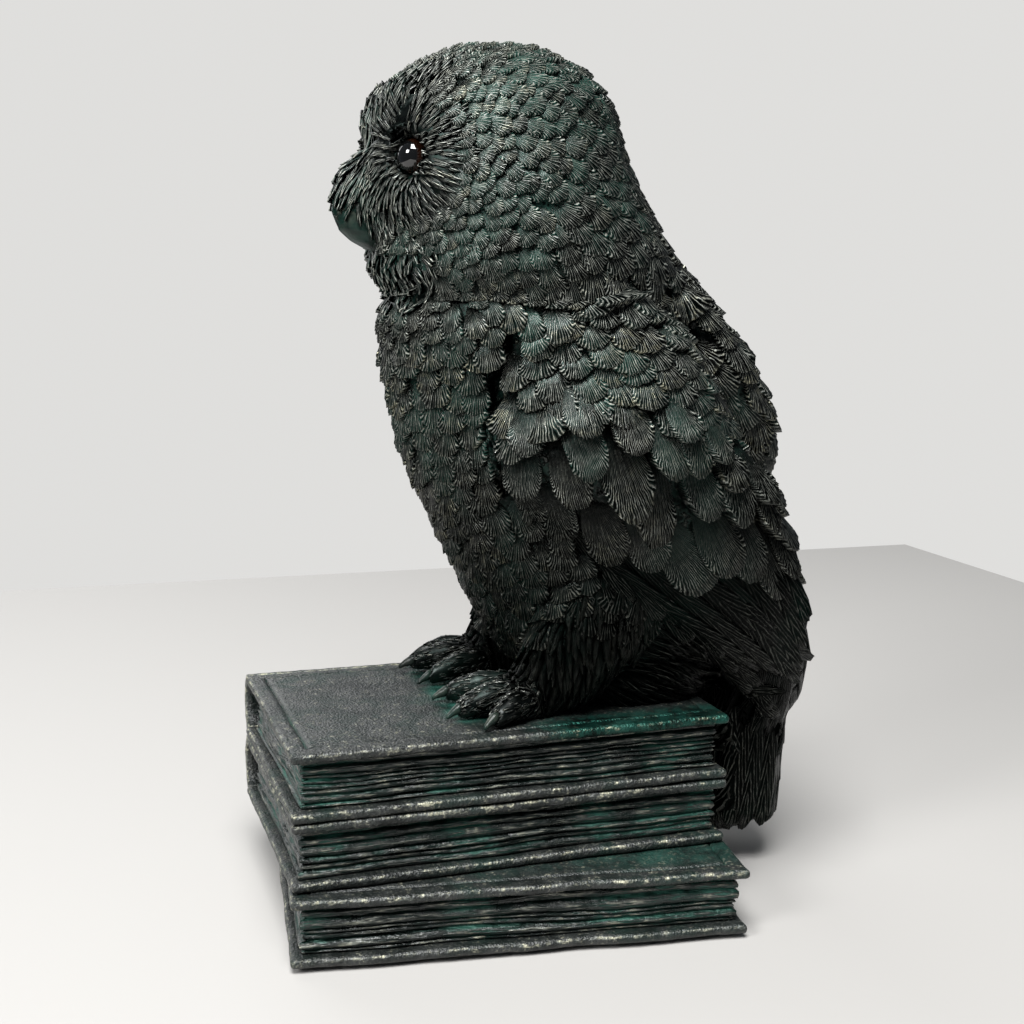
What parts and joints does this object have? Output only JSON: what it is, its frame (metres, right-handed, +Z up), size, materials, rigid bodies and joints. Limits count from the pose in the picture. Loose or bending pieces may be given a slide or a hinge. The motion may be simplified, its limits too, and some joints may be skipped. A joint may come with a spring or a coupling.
{
  "type": "bookend",
  "caption": "Bookend figure of an owl perched on a stack of closed books, painted to look like aged dark green bronze.",
  "frame": {"origin": "middle of the bounding box's underside, on the surface that the felt pads rest on", "axes": "+Z up, the longest extent; the owl faces -X, along the length of the two upper books; -Y is the side of the books' fore edges and of the owl's left wing; +Y is the side of the spines"},
  "size_m": [0.1586, 0.1072, 0.2353],
  "materials": {
    "feathers": "cast resin, dark green bronze paint, satin",
    "soft_feathers": "cast resin, dark green bronze paint with pale dry brushing",
    "horn": "cast resin, dark paint, semi gloss",
    "eyes": "glossy black",
    "covers": "cast resin, leather grain, worn edges",
    "pages": "cast resin, verdigris wash, worn edges",
    "felt": "felt"
  },
  "bodies": {
    "root": {"lower_book_bottom_board": "covers", "lower_book_top_board": "covers", "lower_book_spine": "covers", "lower_book_pages": "pages", "felt_pad_1": "felt", "felt_pad_2": "felt", "felt_pad_3": "felt", "felt_pad_4": "felt", "middle_book_bottom_board": "covers", "middle_book_top_board": "covers", "middle_book_spine": "covers", "middle_book_pages": "pages", "upper_book_bottom_board": "covers", "upper_book_top_board": "covers", "upper_book_spine": "covers", "upper_book_pages": "pages", "head": "feathers", "beak": "horn", "rictal_bristles": "soft_feathers", "left_eye": "eyes", "left_brow": "soft_feathers", "left_facial_disc": "soft_feathers", "right_eye": "eyes", "right_brow": "soft_feathers", "right_facial_disc": "soft_feathers", "torso": "feathers", "mantle": "feathers", "left_wing_shoulder": "feathers", "left_wing_coverts": "feathers", "left_wing_primaries": "feathers", "right_wing_shoulder": "feathers", "right_wing_coverts": "feathers", "right_wing_primaries": "feathers", "left_leg": "soft_feathers", "right_leg": "soft_feathers", "tail": "feathers", "undertail": "soft_feathers", "left_instep": "soft_feathers", "left_toe_inner": "soft_feathers", "left_claw_inner": "horn", "left_toe_middle": "soft_feathers", "left_claw_middle": "horn", "left_toe_outer": "soft_feathers", "left_claw_outer": "horn", "right_instep": "soft_feathers", "right_toe_inner": "soft_feathers", "right_claw_inner": "horn", "right_toe_middle": "soft_feathers", "right_claw_middle": "horn", "right_toe_outer": "soft_feathers", "right_claw_outer": "horn"}
  },
  "joints": []
}
